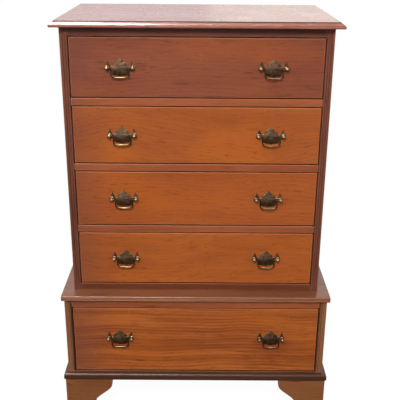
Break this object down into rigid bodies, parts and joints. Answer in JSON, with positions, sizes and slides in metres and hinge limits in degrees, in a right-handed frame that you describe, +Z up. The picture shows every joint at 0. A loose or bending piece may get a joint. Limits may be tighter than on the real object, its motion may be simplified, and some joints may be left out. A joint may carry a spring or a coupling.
{
  "type": "chest of drawers",
  "caption": "Tall two-stage chest of drawers with sliding drawers, swinging bail pulls, moulded top, waist and base, and bracket feet.",
  "frame": {"origin": "on the floor, under the centre of the chest's bounding box", "axes": "+Z up, the drawers face -Y, +X to the right of someone who faces the drawers"},
  "size_m": [0.884, 0.5606, 1.3],
  "materials": {
    "front_wood": "satin red-brown stained and lacquered wood",
    "case_wood": "satin dark red-brown stained and lacquered wood",
    "inner_wood": "bare pale wood",
    "panel_wood": "bare thin plywood",
    "aged_brass": "dark antiqued brass, rubbed bright on the high spots"
  },
  "bodies": {
    "case": {"top_board": "case_wood", "upper_side_left": "case_wood", "upper_side_right": "case_wood", "upper_back_panel": "panel_wood", "upper_top_rail": "case_wood", "upper_rear_rail": "case_wood", "divider_1": "front_wood", "divider_2": "front_wood", "divider_3": "front_wood", "upper_bottom_frame": "front_wood", "waist_board": "case_wood", "lower_side_left": "case_wood", "lower_side_right": "case_wood", "lower_back_panel": "panel_wood", "lower_top_rail": "case_wood", "lower_bottom_frame": "case_wood", "base_moulding_front": "case_wood", "base_moulding_left": "case_wood", "base_moulding_right": "case_wood", "foot_front_left": "case_wood", "foot_front_left_side": "case_wood", "foot_front_right": "case_wood", "foot_front_right_side": "case_wood", "foot_rear_left": "case_wood", "foot_rear_right": "case_wood"},
    "drawer_1": {"drawer_1_front": "front_wood", "drawer_1_box": "inner_wood", "drawer_1_bottom": "inner_wood", "drawer_1_plate_left": "aged_brass", "drawer_1_plate_right": "aged_brass"},
    "drawer_1_bail_left": {"drawer_1_bail_left": "aged_brass"},
    "drawer_1_bail_right": {"drawer_1_bail_right": "aged_brass"},
    "drawer_2": {"drawer_2_front": "front_wood", "drawer_2_box": "inner_wood", "drawer_2_bottom": "inner_wood", "drawer_2_plate_left": "aged_brass", "drawer_2_plate_right": "aged_brass"},
    "drawer_2_bail_left": {"drawer_2_bail_left": "aged_brass"},
    "drawer_2_bail_right": {"drawer_2_bail_right": "aged_brass"},
    "drawer_3": {"drawer_3_front": "front_wood", "drawer_3_box": "inner_wood", "drawer_3_bottom": "inner_wood", "drawer_3_plate_left": "aged_brass", "drawer_3_plate_right": "aged_brass"},
    "drawer_3_bail_left": {"drawer_3_bail_left": "aged_brass"},
    "drawer_3_bail_right": {"drawer_3_bail_right": "aged_brass"},
    "drawer_4": {"drawer_4_front": "front_wood", "drawer_4_box": "inner_wood", "drawer_4_bottom": "inner_wood", "drawer_4_plate_left": "aged_brass", "drawer_4_plate_right": "aged_brass"},
    "drawer_4_bail_left": {"drawer_4_bail_left": "aged_brass"},
    "drawer_4_bail_right": {"drawer_4_bail_right": "aged_brass"},
    "drawer_5": {"drawer_5_front": "front_wood", "drawer_5_box": "inner_wood", "drawer_5_bottom": "inner_wood", "drawer_5_plate_left": "aged_brass", "drawer_5_plate_right": "aged_brass"},
    "drawer_5_bail_left": {"drawer_5_bail_left": "aged_brass"},
    "drawer_5_bail_right": {"drawer_5_bail_right": "aged_brass"}
  },
  "joints": [
    {"name": "drawer_1_slide", "type": "slide", "parent": "case", "child": "drawer_1", "axis": [0, -1, 0], "range_m": [0, 0.35]},
    {"name": "drawer_1_bail_left_swing", "type": "hinge", "parent": "drawer_1", "child": "drawer_1_bail_left", "pos_m": [-0.226, -0.2317, 1.16425], "axis": [-1, 0, 0], "range_deg": [-10, 160]},
    {"name": "drawer_1_bail_right_swing", "type": "hinge", "parent": "drawer_1", "child": "drawer_1_bail_right", "pos_m": [0.226, -0.2317, 1.16425], "axis": [-1, 0, 0], "range_deg": [-10, 160]},
    {"name": "drawer_2_slide", "type": "slide", "parent": "case", "child": "drawer_2", "axis": [0, -1, 0], "range_m": [0, 0.35]},
    {"name": "drawer_2_bail_left_swing", "type": "hinge", "parent": "drawer_2", "child": "drawer_2_bail_left", "pos_m": [-0.226, -0.2317, 0.95925], "axis": [-1, 0, 0], "range_deg": [-10, 160]},
    {"name": "drawer_2_bail_right_swing", "type": "hinge", "parent": "drawer_2", "child": "drawer_2_bail_right", "pos_m": [0.226, -0.2317, 0.95925], "axis": [-1, 0, 0], "range_deg": [-10, 160]},
    {"name": "drawer_3_slide", "type": "slide", "parent": "case", "child": "drawer_3", "axis": [0, -1, 0], "range_m": [0, 0.35]},
    {"name": "drawer_3_bail_left_swing", "type": "hinge", "parent": "drawer_3", "child": "drawer_3_bail_left", "pos_m": [-0.226, -0.2317, 0.75425], "axis": [-1, 0, 0], "range_deg": [-10, 160]},
    {"name": "drawer_3_bail_right_swing", "type": "hinge", "parent": "drawer_3", "child": "drawer_3_bail_right", "pos_m": [0.226, -0.2317, 0.75425], "axis": [-1, 0, 0], "range_deg": [-10, 160]},
    {"name": "drawer_4_slide", "type": "slide", "parent": "case", "child": "drawer_4", "axis": [0, -1, 0], "range_m": [0, 0.35]},
    {"name": "drawer_4_bail_left_swing", "type": "hinge", "parent": "drawer_4", "child": "drawer_4_bail_left", "pos_m": [-0.226, -0.2317, 0.54925], "axis": [-1, 0, 0], "range_deg": [-10, 160]},
    {"name": "drawer_4_bail_right_swing", "type": "hinge", "parent": "drawer_4", "child": "drawer_4_bail_right", "pos_m": [0.226, -0.2317, 0.54925], "axis": [-1, 0, 0], "range_deg": [-10, 160]},
    {"name": "drawer_5_slide", "type": "slide", "parent": "case", "child": "drawer_5", "axis": [0, -1, 0], "range_m": [0, 0.39]},
    {"name": "drawer_5_bail_left_swing", "type": "hinge", "parent": "drawer_5", "child": "drawer_5_bail_left", "pos_m": [-0.249, -0.2747, 0.27825], "axis": [-1, 0, 0], "range_deg": [-10, 160]},
    {"name": "drawer_5_bail_right_swing", "type": "hinge", "parent": "drawer_5", "child": "drawer_5_bail_right", "pos_m": [0.249, -0.2747, 0.27825], "axis": [-1, 0, 0], "range_deg": [-10, 160]}
  ]
}
